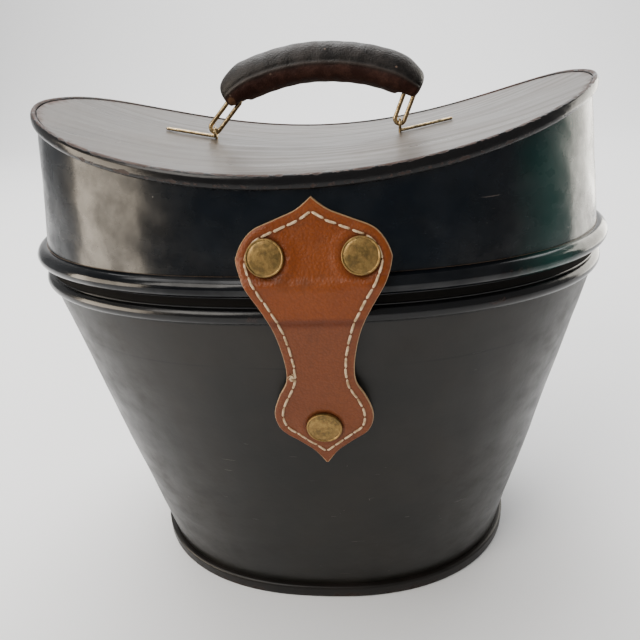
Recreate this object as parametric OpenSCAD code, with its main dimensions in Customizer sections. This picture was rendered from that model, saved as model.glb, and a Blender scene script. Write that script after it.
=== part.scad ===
// Oval tin hat box: a tapered bucket and a saddle-topped lid, hinged at the back,
// closed by a leather tab at the front and carried by a padded grip on two wire links.
// Millimetres. X runs along the oval, -Y is the front, Z is up, the foot stands on Z = 0.

/* [Bucket] */
// Length over the lid's bead, the widest line of the box
body_len = 320; // [270:1:380]
// Depth over the lid's bead
body_dep = 246; // [210:1:290]
// Length over the foot
foot_len = 239; // [205:1:280]
// Depth over the foot
foot_dep = 196; // [170:1:230]
// Height of the bucket's upper edge
bucket_h = 195.5; // [165:0.5:235]
// Fullness of the oval, where 2 is an ellipse
oval_power = 2.3; // [2:0.1:2.8]
// Thickness of the tinplate with its paint
tin_t = 1; // [0.8:0.1:1.4]
// Radius of the bucket's swaged bead
bucket_bead_r = 4; // [3:0.5:5]
// How far the bucket's bead stands out from its wall
bucket_bead_out = 3; // [2:0.1:4]
// How far the bucket's bead lies inside the lid's
bead_step = 2; // [1:0.5:4]
// Height of the foot ring
foot_h = 7.5; // [6:0.5:12]
// How far the foot ring stands out from the wall
foot_out = 3.4; // [2.5:0.1:5]
// Height of the floor plate above the ground
floor_z = 3; // [2:0.5:5]

/* [Lid] */
// Gap between the two beads
seam_gap = 3.8; // [3:0.1:6]
// Height of the lid's wall at the front and back
lid_mid_h = 50; // [40:1:60]
// How much higher the lid stands at its two ends
lid_rise = 30; // [20:1:36]
// Inward lean of the lid's wall along X, per millimetre of height
lid_lean_x = 0.15; // [0.08:0.01:0.2]
// Inward lean of the lid's wall along Y, per millimetre of height
lid_lean_y = 0.13; // [0.08:0.01:0.2]
// Radius of the lid's swaged bead
lid_bead_r = 4.4; // [3:0.1:5]
// How far the lid's bead stands out from its wall
lid_bead_out = 5.2; // [3.5:0.1:6]
// Height of the plain lip under the lid's bead
lip_h = 1; // [0.5:0.1:3]
// Depth of the rim band that folds down from the lid's top
band_h = 5.4; // [4.5:0.1:9]
// Height of the locating collar above the lid's lower edge
collar_rise = 8; // [5:0.5:12]
// Depth of the collar below the bucket's edge
collar_drop = 12; // [11:1:14]

/* [Hinge] */
// Length of the hinge along X
hinge_len = 44; // [36:1:60]
// Length of the lid's knuckle
knuckle_len = 19; // [14:1:24]
// Outer radius of the knuckles
knuckle_r = 3; // [2.5:0.1:4]
// Radius of the hinge pin
pin_r = 1.2; // [1:0.1:1.6]
// Thickness of the hinge leaves
leaf_t = 1; // [0.8:0.1:1.2]
// Depth of a leaf where it lies on its wall
leaf_h = 16; // [13:1:24]
// Distance between a leaf's two rivets
leaf_rivet_gap = 28; // [20:1:32]

/* [Closure tab] */
// Place of the tab along X, measured from the middle
tab_x = 9; // [-10:1:10]
// Thickness of the leather
leather_t = 2.2; // [1.8:0.1:3]
// Height of the tab's upper tip above the lid's lower edge
tab_tip_up = 41.9; // [34:0.1:46]
// Drop of the crease below the lid's lower edge
crease_drop = 9; // [1.5:0.5:12]
// Gap between the rivets' caps and the bend of the leather over the lid's bead
cap_clear = 0.3; // [0.2:0.1:3]
// Distance between the two rivets
rivet_gap = 39; // [34:1:42]
// Half width of the tab at its upper bulge
tab_top_w = 32; // [29:0.5:36]
// Half width of the neck
tab_neck_w = 15.2; // [12:0.1:20]
// Half width of the tab at its lower bulge
tab_low_w = 22.8; // [20:0.1:27]
// Drop of the lower bulge below the lid's lower edge
tab_bulge_drop = 59; // [52:1:70]
// Drop of the snap's centre below the lid's lower edge
snap_drop = 65; // [58:1:76]
// Drop of the tab's lower tip below the lid's lower edge
tab_tip_drop = 88.5; // [82:0.5:98]
// Radius of the brass rivet caps
cap_r = 7.8; // [6:0.1:9]
// Radius of the snap's cap
snap_cap_r = 8.2; // [7:0.1:9]
// Thickness of the snap's magnet
magnet_t = 1.6; // [1.2:0.1:2.5]
// Thickness of the catch plate on the bucket
catch_t = 1.3; // [1:0.1:2]
// Radius of the rivets' shanks
shank_r = 1.6; // [1.2:0.1:2]

/* [Handle] */
// Place of the handle's feet along X
foot_x = -4; // [-8:1:8]
// Half distance between the two feet
foot_span = 53; // [46:1:60]
// How far the links lean along X
link_lean = 9.5; // [-10:1:10]
// Half distance between the links' upper ends
link_top_span = 49; // [44:0.5:56]
// Height of the links' upper ends above their lower ones
link_h = 19.3; // [16:0.5:24]
// Distance between the two wires of a link
link_w = 5.4; // [5.2:0.1:7]
// Radius of the links' wire
link_r = 1.2; // [0.8:0.1:1.3]
// Height of the links' lower bars above the middle of the lid's top
axis_up = 8; // [7.5:0.1:10]
// Radius of the grip
grip_r = 10.2; // [9:0.1:12]
// Radius of the arch of the grip
arch_r = 116; // [95:1:140]
// Length of the grip from end to end
grip_len = 114; // [104:1:120]
// Thickness of the grip's leather
grip_skin = 2; // [1.5:0.1:2.5]
// Radius of the spine inside the grip
spine_r = 2; // [1.5:0.1:2.4]
// Length of the staples' tails that lie on the lid
tail_len = 30; // [16:1:34]
// Radius of the staples' wire
staple_r = 0.8; // [0.6:0.1:1]

/* [Clearances] */
// Gap between the collar and the lid's wall
collar_gap = 0.8; // [0.5:0.1:1.5]
// Gap between pieces that only lie on each other
lie_gap = 0.1; // [0.05:0.05:0.2]
// Radial gap round the hinge pin
pin_gap = 0.06; // [0.04:0.01:0.1]
// Gap between hinge knuckles along the pin
knuckle_gap = 0.4; // [0.3:0.1:0.6]
// Gap between the magnet and its catch plate
magnet_gap = 0.4; // [0.3:0.1:0.8]
// Radial gap round rivets in their holes
hole_gap = 0.05; // [0.03:0.01:0.1]

/* [Hidden] */
$fn = 48;
oval_n = 96;
bead_n = 8;
far = 500;

// ---- heights and half sizes of the two shells ----
bead_a = body_len / 2;
bead_b = body_dep / 2;
lid_edge_z = bucket_h + seam_gap;
lid_bead_z = lid_edge_z + lip_h + lid_bead_r;
lid_mid_z = lid_edge_z + lid_mid_h;
lid_half = bead_a - lid_bead_out - lid_lean_x * (lid_mid_h + lid_rise - lid_bead_r - lip_h);
saddle_r = (lid_half * lid_half + lid_rise * lid_rise) / (2 * lid_rise);
bucket_bead_z = bucket_h - bucket_bead_r - 0.5;
bucket_top_a = bead_a - bead_step - bucket_bead_out;
bucket_top_b = bead_b - bead_step - bucket_bead_out;
bucket_low_a = foot_len / 2 - foot_out;
bucket_low_b = foot_dep / 2 - foot_out;
shoulder_z = bucket_bead_z - bucket_bead_r;

// Half length and half depth of the bucket's outer face at a height
function wall_part(z) = min(1, (z - foot_h) / (shoulder_z - foot_h));
function bucket_a(z) = bucket_low_a + (bucket_top_a - bucket_low_a) * wall_part(z);
function bucket_b(z) = bucket_low_b + (bucket_top_b - bucket_low_b) * wall_part(z);
bucket_lean_y = (bucket_top_b - bucket_low_b) / (shoulder_z - foot_h);

// Half length and half depth of the lid's outer face at a height
function lid_a(z) = bead_a - lid_bead_out - lid_lean_x * max(0, z - lid_bead_z);
function lid_b(z) = bead_b - lid_bead_out - lid_lean_y * max(0, z - lid_bead_z);

// Depth of an oval of half sizes a and b at a place along X
function oval_y(a, b, x) = b * pow(1 - pow(abs(x) / a, oval_power), 1 / oval_power);
function bucket_face(x, z) = oval_y(bucket_a(z), bucket_b(z), x);
function lid_face(x, z) = oval_y(lid_a(z), lid_b(z), x);

// Height of the lid's saddle top at a place along X
function saddle_z(x) = lid_mid_z + saddle_r - sqrt(saddle_r * saddle_r - x * x);

// Unit oval: cosine and sine raised to the power that fills the corners
function filled(v) = sign(v) * pow(abs(v), 2 / oval_power);
function oval_c(i) = filled(cos(360 * i / oval_n));
function oval_s(i) = filled(sin(360 * i / oval_n));
function oval(a, b) = [for (i = [0 : oval_n - 1]) [a * oval_c(i), b * oval_s(i)]];

// Height on the lid's wall that lies h under the saddle, found in three steps
function under_saddle(i, d, h, z = lid_mid_z, left = 3) =
    left == 0 ? z : under_saddle(i, d, h, saddle_z((lid_a(z) - d) * oval_c(i)) - h, left - 1);

// Closed ring whose section is a loop of points; row i holds the section at oval place i
module swept_ring(rows) {
    m = len(rows[0]);
    points = [for (row = rows) for (p = row) p];
    faces = [for (i = [0 : oval_n - 1]) for (j = [0 : m - 1])
        let (k = (i + 1) % oval_n, n = (j + 1) % m)
        each [[i * m + j, i * m + n, k * m + n], [i * m + j, k * m + n, k * m + j]]];
    polyhedron(points, faces);
}

// Ring at one level all round: the section is a list of [half length, half depth, height]
module level_ring(section) {
    swept_ring([for (i = [0 : oval_n - 1])
        [for (p = section) [p[0] * oval_c(i), p[1] * oval_s(i), p[2]]]]);
}

// The same points one tin thickness further in
function behind(section) = [for (p = section) [p[0] - tin_t, p[1] - tin_t, p[2]]];

// Oval plate or band with straight sides
module oval_plate(a, b, h) {
    linear_extrude(height = h) polygon(oval(a, b));
}

// Points of a swaged bead, as [outward, upward] from the wall's outer face: the outer
// skin runs upward, and the inner skin, one tin thickness behind it, runs downward
function outer_bead(r, out) = let (t = acos((r - out) / r))
    [for (k = [0 : bead_n]) let (u = t * (2 * k / bead_n - 1))
        [out - r + r * cos(u), r * sin(u)]];
function inner_bead(r, out) = let (q = r - tin_t, t = acos((r - out - tin_t) / q))
    [for (k = [0 : bead_n]) let (u = t * (1 - 2 * k / bead_n))
        [out - r + q * cos(u), q * sin(u)]];

// ---- places worked out from the sizes above ----
collar_top = lid_edge_z + collar_rise;
hinge_y = bead_b + leaf_t + 2 * lie_gap + knuckle_r;
hinge_z = bucket_h + seam_gap / 2 - 0.2;
lid_face_y = bead_b + lie_gap;
snap_z = lid_edge_z - snap_drop;
stack_t = magnet_t + magnet_gap + catch_t;
lean_bucket = atan(bucket_lean_y);
lean_lid = atan(lid_lean_y);
bend_in = lid_bead_r + 3 * lie_gap;
bend_out = bend_in + leather_t;
bend_top = 50;
rivet_z = bend_point(bend_out, bend_top)[1] + cap_r + cap_clear;
rivet_x = [tab_x - rivet_gap / 2, tab_x + rivet_gap / 2];
crease_z = lid_edge_z - crease_drop;
axis_z = lid_mid_z + axis_up;
link_foot_x = [foot_x - foot_span, foot_x + foot_span];
link_top_x = [foot_x + link_lean - link_top_span, foot_x + link_lean + link_top_span];
grip_x = foot_x + link_lean;
arch_drop = arch_r - sqrt(arch_r * arch_r - link_top_span * link_top_span);
ring_in = link_r + 0.15;
ring_wire = 0.9;
ring_drop = ring_in + ring_wire + spine_r - 0.3;
arch_z = axis_z + link_h + ring_drop + arch_drop - arch_r;
cap_half = asin((grip_len / 2 - grip_r) / arch_r);
eye_half = asin(link_top_span / arch_r);

// Turns a child so that its Z axis is the outward normal of a wall at the front or back
module on_wall(x, y, z, lean, front) {
    translate([x, y, z]) rotate([front ? 90 - lean : lean - 90, 0, 0]) children();
}

// ================= bucket =================
module base_wall() {
    low = [[bucket_low_a, bucket_low_b, floor_z], [bucket_low_a, bucket_low_b, foot_h],
        [bucket_top_a, bucket_top_b, shoulder_z]];
    top = [[bucket_top_a, bucket_top_b, bucket_h]];
    outer = concat(low, [for (p = outer_bead(bucket_bead_r, bucket_bead_out))
        [bucket_top_a + p[0], bucket_top_b + p[0], bucket_bead_z + p[1]]], top);
    inner = concat(behind(top), [for (p = inner_bead(bucket_bead_r, bucket_bead_out))
        [bucket_top_a + p[0], bucket_top_b + p[0], bucket_bead_z + p[1]]],
        behind([low[2], low[1], low[0]]));
    color([0.07, 0.055, 0.05]) difference() {
        level_ring(concat(outer, inner));
        for (x = [-1, 1]) leaf_rivet_hole_base(x * leaf_rivet_gap / 2);
        on_wall(tab_x, -bucket_b(snap_z), snap_z, -lean_bucket, true)
            cylinder(r = shank_r + hole_gap, h = 4 * tin_t + 4, center = true);
    }
}

module base_floor() {
    gap = tin_t + lie_gap;
    color([0.16, 0.12, 0.09]) translate([0, 0, floor_z])
        oval_plate(bucket_low_a - gap, bucket_low_b - gap, tin_t);
}

module foot_ring() {
    a = foot_len / 2;
    b = foot_dep / 2;
    gap = foot_out - lie_gap;
    inset = foot_out + tin_t + 2;
    color([0.10, 0.07, 0.055]) {
        difference() {
            oval_plate(a, b, foot_h);
            translate([0, 0, tin_t]) oval_plate(a - tin_t, b - tin_t, foot_h);
            translate([0, 0, -tin_t]) oval_plate(a - inset, b - inset, foot_h);
        }
        translate([0, 0, foot_h - tin_t]) difference() {
            oval_plate(a - tin_t / 2, b - tin_t / 2, tin_t);
            translate([0, 0, -tin_t]) oval_plate(a - gap, b - gap, 3 * tin_t);
        }
    }
}

module foot_wire() {
    r = (foot_out - tin_t - 2 * lie_gap) / 2;
    d = tin_t + lie_gap + r;
    wire_z = tin_t + lie_gap + r;
    color([0.35, 0.33, 0.3]) level_ring([for (k = [0 : 7])
        [foot_len / 2 - d + r * cos(45 * k), foot_dep / 2 - d + r * cos(45 * k),
            wire_z + r * sin(45 * k)]]);
}

module inner_collar() {
    z0 = bucket_h - collar_drop;
    z1 = shoulder_z;
    z2 = bucket_h + lie_gap;
    z3 = lid_edge_z - lie_gap;
    fit = tin_t + lie_gap;
    in_gap = tin_t + collar_gap;
    a_top = lid_a(collar_top) - in_gap;
    b_top = lid_b(collar_top) - in_gap;
    ledge_a = lid_a(lid_edge_z);
    ledge_b = lid_b(lid_edge_z);
    color([0.05, 0.045, 0.04]) level_ring([
        [bucket_a(z0) - fit, bucket_b(z0) - fit, z0],
        [bucket_top_a - fit, bucket_top_b - fit, z1],
        [bucket_top_a - fit, bucket_top_b - fit, z2],
        [ledge_a, ledge_b, z2],
        [ledge_a, ledge_b, z3],
        [a_top, b_top, z3],
        [a_top, b_top, collar_top],
        [a_top - tin_t, b_top - tin_t, collar_top],
        [bucket_top_a - fit - tin_t, bucket_top_b - fit - tin_t, z2 - tin_t],
        [bucket_top_a - fit - tin_t, bucket_top_b - fit - tin_t, z1],
        [bucket_a(z0) - fit - tin_t, bucket_b(z0) - fit - tin_t, z0]]);
}

module base_seam() {
    low = foot_h + 2;
    high = hinge_z - knuckle_r - leaf_h - 16;
    mid = (low + high) / 2;
    color([0.08, 0.06, 0.055]) on_wall(0, bucket_b(mid) + lie_gap, mid, -lean_bucket, false)
        translate([-4, -(high - low) / 2, 0]) cube([8, high - low, tin_t * 0.8]);
}

// ================= hinge =================
knuckle_x = knuckle_len / 2;
leaf_bend_base = shoulder_z - 2;
leaf_bend_lid = lid_bead_z + lid_bead_r + 3;
leaf_low_base = leaf_bend_base - leaf_h;
leaf_top_lid = leaf_bend_lid + leaf_h;
leaf_rivet_base = leaf_bend_base - leaf_h / 2;
leaf_rivet_lid = leaf_bend_lid + leaf_h / 2;
base_face_y = bead_b - bead_step + lie_gap;

module leaf_rivet_hole_base(x) {
    on_wall(x, bucket_b(leaf_rivet_base), leaf_rivet_base, -lean_bucket, false)
        cylinder(r = shank_r + hole_gap, h = 12, center = true);
}

module leaf_rivet_hole_lid(x) {
    on_wall(x, lid_b(leaf_rivet_lid), leaf_rivet_lid, lean_lid, false)
        cylinder(r = shank_r + hole_gap, h = 12, center = true);
}

// Strip of leaf: a side view in Y and Z, drawn out along X
module leaf_strip(outline) {
    rotate([90, 0, 90]) linear_extrude(height = hinge_len, center = true) polygon(outline);
}

module knuckles(lid_side) {
    spans = lid_side ? [[-knuckle_x, knuckle_x]]
        : [[-hinge_len / 2, -knuckle_x - knuckle_gap], [knuckle_x + knuckle_gap, hinge_len / 2]];
    for (s = spans) translate([s[0], hinge_y, hinge_z]) rotate([0, 90, 0])
        cylinder(r = knuckle_r, h = s[1] - s[0]);
}

module knuckle_spaces(lid_side) {
    spans = lid_side
        ? [[-hinge_len, -knuckle_x], [knuckle_x, hinge_len]]
        : [[-knuckle_x - knuckle_gap, knuckle_x + knuckle_gap]];
    for (s = spans) translate([s[0], base_face_y + leaf_t + lie_gap, hinge_z - knuckle_r - 1])
        cube([s[1] - s[0], 2 * knuckle_r + leaf_t + 2, 2 * knuckle_r + 2]);
}

module hinge_leaf_base() {
    y0 = base_face_y;
    z_top = hinge_z - knuckle_r + leaf_t + lie_gap;
    on_b = lie_gap + bucket_b(leaf_bend_base);
    low_b = lie_gap + bucket_b(leaf_low_base);
    color([0.09, 0.07, 0.06]) difference() {
        union() {
            leaf_strip([[hinge_y, z_top], [y0, z_top], [y0, shoulder_z], [on_b, leaf_bend_base],
                [low_b, leaf_low_base], [low_b + leaf_t, leaf_low_base],
                [on_b + leaf_t, leaf_bend_base - 0.3], [y0 + leaf_t, shoulder_z - 0.3],
                [y0 + leaf_t, z_top - leaf_t], [hinge_y, z_top - leaf_t]]);
            knuckles(false);
        }
        knuckle_spaces(false);
        translate([0, hinge_y, hinge_z]) rotate([0, 90, 0])
            cylinder(r = pin_r + pin_gap, h = 2 * hinge_len, center = true);
        for (x = [-1, 1]) leaf_rivet_hole_base(x * leaf_rivet_gap / 2);
    }
}

module hinge_leaf_lid() {
    y0 = lid_face_y;
    z_low = hinge_z + knuckle_r - leaf_t - lie_gap;
    z_bead = lid_bead_z + 3;
    on_b = lie_gap + lid_b(leaf_bend_lid);
    top_b = lie_gap + lid_b(leaf_top_lid);
    color([0.09, 0.07, 0.06]) difference() {
        union() {
            leaf_strip([[hinge_y, z_low], [y0, z_low], [y0, z_bead], [on_b, leaf_bend_lid],
                [top_b, leaf_top_lid], [top_b + leaf_t, leaf_top_lid],
                [on_b + leaf_t, leaf_bend_lid + 0.5], [y0 + leaf_t, z_bead + 0.5],
                [y0 + leaf_t, z_low + leaf_t], [hinge_y, z_low + leaf_t]]);
            knuckles(true);
        }
        knuckle_spaces(true);
        translate([0, hinge_y, hinge_z]) rotate([0, 90, 0])
            cylinder(r = pin_r + pin_gap, h = 2 * hinge_len, center = true);
        for (x = [-1, 1]) leaf_rivet_hole_lid(x * leaf_rivet_gap / 2);
    }
}

module hinge_pin() {
    over = 1;
    color([0.5, 0.45, 0.35]) translate([0, hinge_y, hinge_z]) rotate([0, 90, 0])
        cylinder(r = pin_r, h = hinge_len + 2 * over, center = true);
}

// Small domed rivet: a shank through leaf and wall, a cap outside and a flat head inside.
// Its own Z axis points out of the wall, and Z = 0 is the wall's outer face at X = 0.
module wall_rivet(curve_back) {
    head_r = 3;
    head_t = 0.8;
    dome_h = 1.1;
    dome_r = (head_r * head_r + dome_h * dome_h) / (2 * dome_h);
    cover = leaf_t + 3 * lie_gap;
    inner = tin_t + 2 * lie_gap + curve_back;
    translate([0, 0, -inner]) cylinder(r = shank_r, h = inner + cover + 0.2);
    translate([0, 0, -inner - head_t]) cylinder(r = head_r, h = head_t);
    translate([0, 0, cover]) intersection() {
        cylinder(r = head_r, h = dome_h + 1);
        translate([0, 0, dome_h - dome_r]) sphere(r = dome_r);
    }
}

module hinge_rivets_base() {
    z = leaf_rivet_base;
    x = leaf_rivet_gap / 2;
    color([0.45, 0.38, 0.25]) for (side = [-1, 1])
        on_wall(side * x, bucket_b(z), z, -lean_bucket, false)
            wall_rivet(bucket_b(z) - bucket_face(x + 3, z));
}

module hinge_rivets_lid() {
    z = leaf_rivet_lid;
    x = leaf_rivet_gap / 2;
    color([0.45, 0.38, 0.25]) for (side = [-1, 1])
        on_wall(side * x, lid_b(z), z, lean_lid, false)
            wall_rivet(lid_b(z) - lid_face(x + 3, z));
}

// ================= lid =================
module lid_wall() {
    top_gap = tin_t + lie_gap;
    edge = [[lid_a(lid_edge_z), lid_b(lid_edge_z), lid_edge_z]];
    bead = concat(edge, [for (p = outer_bead(lid_bead_r, lid_bead_out))
        let (z = lid_bead_z + p[1]) [lid_a(z) + p[0], lid_b(z) + p[0], z]]);
    inside = concat([for (p = inner_bead(lid_bead_r, lid_bead_out))
        let (z = lid_bead_z + p[1]) [lid_a(z) + p[0], lid_b(z) + p[0], z]], behind(edge));
    module shell() {
        swept_ring([for (i = [0 : oval_n - 1]) concat(
            [for (p = bead) [p[0] * oval_c(i), p[1] * oval_s(i), p[2]]],
            [for (d = [0, tin_t]) let (z = under_saddle(i, d, top_gap))
                [(lid_a(z) - d) * oval_c(i), (lid_b(z) - d) * oval_s(i), z]],
            [for (p = inside) [p[0] * oval_c(i), p[1] * oval_s(i), p[2]]])]);
    }
    color([0.03, 0.035, 0.045]) difference() {
        shell();
        for (x = [-1, 1]) leaf_rivet_hole_lid(x * leaf_rivet_gap / 2);
        for (x = rivet_x) on_seat(x) cylinder(r = shank_r + hole_gap, h = 30, center = true);
    }
}

// Everything between two heights under the lid's saddle surface
module saddle_layer(down, thick) {
    translate([0, 0, lid_mid_z + saddle_r]) rotate([90, 0, 0]) difference() {
        cylinder(r = saddle_r + down + thick, h = far, center = true, $fn = 96);
        cylinder(r = saddle_r + down, h = far + 1, center = true, $fn = 96);
    }
}

band_out = tin_t + 0.9;
module lid_top() {
    out = band_out - 1.6;
    color([0.22, 0.18, 0.15]) difference() {
        intersection() {
            translate([0, 0, lid_edge_z]) linear_extrude(height = far / 2)
                polygon([for (i = [0 : oval_n - 1]) let (z = under_saddle(i, -out, 0))
                    [(lid_a(z) + out) * oval_c(i), (lid_b(z) + out) * oval_s(i)]]);
            saddle_layer(0, tin_t);
        }
        for (s = [0, 1]) staple_holes(s);
    }
}

module lid_rim_band() {
    d0 = -band_out;
    d1 = -lie_gap;
    section = [[d1, -band_h], [d0 + 0.6, -band_h], [d0 - 0.3, -band_h + 0.7],
        [d0 - 0.8, -band_h + 1.9], [d0 - 0.9, -1.6], [d0 - 0.7, -0.5], [d0 - 0.2, 0.4],
        [d0 + 0.5, 0.8], [d0 + 1.1, 0.7], [d0 + 1.5, 0.3], [d0 + 1.4, -0.2],
        [d1 - 0.5, -tin_t], [d1, -tin_t - 0.6]];
    color([0.12, 0.07, 0.055]) swept_ring([for (i = [0 : oval_n - 1]) [for (p = section)
        let (z = under_saddle(i, p[0], -p[1]))
        [(lid_a(z) - p[0]) * oval_c(i), (lid_b(z) - p[0]) * oval_s(i), z]]]);
}

module lid_seam() {
    low = leaf_top_lid + 1;
    high = lid_mid_z - band_h - 2;
    mid = (low + high) / 2;
    color([0.04, 0.04, 0.05]) on_wall(0, lid_b(mid) + lie_gap, mid, lean_lid, false)
        translate([-4, -(high - low) / 2, 0]) cube([8, high - low, tin_t * 0.8]);
}

// ================= closure tab =================
// Half outline of the tab from its upper tip to its lower tip, as [half width, height]
tab_top_z = lid_edge_z + tab_tip_up;
tab_bulge_z = lid_edge_z - tab_bulge_drop;
tab_low_z = lid_edge_z - tab_tip_drop;
neck_drop = 33;
neck_z = lid_edge_z - neck_drop;
rim_drop = 3.7;

// The widths follow the bulges' and the neck's; the heights follow the tips and the rivets
function tab_half() = concat(
    [[0, tab_top_z], [0.2 * tab_top_w, tab_top_z - 4.9]],
    [for (p = [[0.47, 14.6], [0.76, 10.8], [0.91, 6.1], [0.99, 0.9], [1, -1.6], [0.95, -7.9]])
        [p[0] * tab_top_w, rivet_z + p[1]]],
    [for (p = [[11.5, -rim_drop], [7.3, 4.2], [3.6, 12.8], [1.1, 23.3], [0, neck_drop]])
        [tab_neck_w + p[0], lid_edge_z - p[1]]],
    [[tab_neck_w + 0.8, neck_z - 7.5]],
    [for (p = [[3.1, 11.4], [0.2, 3.3], [0.1, -3.3], [3, -9.8], [10, -15.3]])
        [tab_low_w - p[0], tab_bulge_z + p[1]]],
    [[0.25 * tab_low_w, tab_low_z + 8.1], [0, tab_low_z]]);

module tab_outline() {
    half = tab_half();
    n = len(half);
    polygon(concat(half, [for (k = [n - 2 : -1 : 1]) [-half[k][0], half[k][1]]]));
}

// The tab's outline drawn out along Y
module tab_prism() {
    translate([tab_x, 0, 0]) rotate([90, 0, 0]) linear_extrude(height = far) tab_outline();
}

// Side view of a leather strip in Y and Z, drawn out along X
module leather_strip(outline) {
    translate([tab_x, 0, 0]) rotate([90, 0, 90])
        linear_extrude(height = 3 * tab_top_w, center = true) polygon(outline);
}

// The leather bends round the lid's bead: a point there, as [Y, Z]
function bend_point(r, t) =
    [-(lid_b(lid_bead_z) + lid_bead_out - lid_bead_r + r * cos(t)), lid_bead_z + r * sin(t)];
function wall_point(z, out) = [-(lid_b(z) + out), z];

over_caps_z = rivet_z + cap_r + 1;
over_caps_gap = 0.5;
seat_high = wall_point(over_caps_z, over_caps_gap + leather_t);
seat_low = bend_point(bend_out, bend_top);
seat_slope = (seat_high[0] - seat_low[0]) / (seat_high[1] - seat_low[1]);
seat_y = seat_low[0] + seat_slope * (rivet_z - seat_low[1]);

// Frame of a tab rivet: Z = 0 is the leather's outer face, and Z points out of the box
module on_seat(x) {
    on_wall(x, seat_y, rivet_z, atan(seat_slope), true) children();
}

// Depth from that frame's origin to the inner face of the lid's wall
function seat_depth(x) = -seat_y - lid_face(x, rivet_z) + tin_t + 1.2;

flap_top_y = -(bucket_b(snap_z) + stack_t + lie_gap) - bucket_lean_y * (crease_z - snap_z);
flap_low_y = flap_top_y + bucket_lean_y * (crease_z - tab_low_z);

module tab_leather_upper() {
    bends = [bend_top, bend_top / 2, 0];
    low = crease_z + lie_gap;
    color([0.5, 0.2, 0.07]) difference() {
        intersection() {
            tab_prism();
            leather_strip(concat(
                [wall_point(tab_top_z, lie_gap), wall_point(over_caps_z, over_caps_gap)],
                [for (t = bends) bend_point(bend_in, t)],
                [[flap_top_y, low], [flap_top_y - leather_t, low]],
                [for (k = [2 : -1 : 0]) bend_point(bend_out, bends[k])],
                [seat_high, wall_point(tab_top_z, lie_gap + leather_t)]));
        }
        for (x = rivet_x) on_seat(x) cylinder(r = shank_r + hole_gap, h = 20, center = true);
    }
}

module tab_leather_flap() {
    t = leather_t;
    color([0.42, 0.18, 0.07]) difference() {
        intersection() {
            tab_prism();
            leather_strip([[flap_top_y, crease_z - lie_gap], [flap_low_y, tab_low_z - 1],
                [flap_low_y - t, tab_low_z - 1], [flap_top_y - t, crease_z - lie_gap]]);
        }
        on_flap() cylinder(r = shank_r + hole_gap, h = 14, center = true);
    }
}

// Frame of the snap: Z = 0 is the leather's inner face, and Z points out of the box
module on_flap() {
    on_wall(tab_x, -(bucket_b(snap_z) + stack_t + lie_gap), snap_z, -lean_bucket, true) children();
}

// Domed brass cap with a straight rim
cap_rim = 0.8;
cap_dome = 1.2;
module brass_cap(r) {
    sphere_r = (r * r + cap_dome * cap_dome) / (2 * cap_dome);
    intersection() {
        cylinder(r = r, h = cap_rim + cap_dome + 1);
        translate([0, 0, cap_rim + cap_dome - sphere_r]) sphere(r = sphere_r, $fn = 96);
    }
}

module tab_rivet(x) {
    washer_t = 1;
    inner = seat_depth(x) + washer_t + lie_gap;
    color([0.62, 0.45, 0.18]) on_seat(x) {
        translate([0, 0, lie_gap]) brass_cap(cap_r);
        translate([0, 0, -inner]) cylinder(r = shank_r, h = inner + 0.4);
        translate([0, 0, -inner - 0.8]) cylinder(r = shank_r + 1.2, h = 0.8);
    }
}

module tab_rivet_left() { tab_rivet(rivet_x[0]); }
module tab_rivet_right() { tab_rivet(rivet_x[1]); }

module tab_rivet_washers() {
    color([0.55, 0.42, 0.2]) for (x = rivet_x) on_seat(x)
        translate([0, 0, -seat_depth(x) - 1]) difference() {
            cylinder(r = shank_r + 2.4, h = 1);
            translate([0, 0, -1]) cylinder(r = shank_r + hole_gap, h = 3);
        }
}

module snap_cap() {
    color([0.55, 0.43, 0.2]) on_flap() {
        translate([0, 0, leather_t + lie_gap]) brass_cap(snap_cap_r);
        cylinder(r = shank_r, h = leather_t + 0.5);
    }
}

module snap_magnet() {
    color([0.4, 0.38, 0.33]) on_flap() translate([0, 0, -magnet_t - lie_gap])
        cylinder(r = snap_cap_r, h = magnet_t);
}

module snap_catch() {
    color([0.5, 0.42, 0.25]) on_wall(tab_x, -bucket_b(snap_z), snap_z, -lean_bucket, true) {
        translate([0, 0, lie_gap]) cylinder(r = snap_cap_r, h = catch_t - 2 * lie_gap);
        translate([0, 0, -tin_t - 1.9]) cylinder(r = shank_r, h = tin_t + 1.9 + 2 * lie_gap);
    }
}

module snap_catch_washer() {
    color([0.5, 0.42, 0.25]) on_wall(tab_x, -bucket_b(snap_z), snap_z, -lean_bucket, true)
        translate([0, 0, -tin_t - 1.5]) difference() {
            cylinder(r = snap_cap_r, h = 0.8);
            translate([0, 0, -1]) cylinder(r = shank_r + hole_gap, h = 3);
        }
}

// ================= handle =================
// Side 0 is the left foot, side 1 the right foot
function side_sign(s) = s == 0 ? -1 : 1;
function tail_end_x(s) = link_foot_x[s] + side_sign(s) * tail_len;
function tail_slope(s) = atan((saddle_z(tail_end_x(s)) - saddle_z(link_foot_x[s])) / tail_len);
eye_r = link_r + staple_r + 0.5;

// The staple's legs go through the lid beside its eye
module staple_leg(s, r, low, high) {
    translate([link_foot_x[s], 0, low]) cylinder(r = r, h = high - low);
}

module staple_holes(s) {
    staple_leg(s, staple_r + hole_gap, lid_mid_z - 10, lid_mid_z + 20);
}

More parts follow.
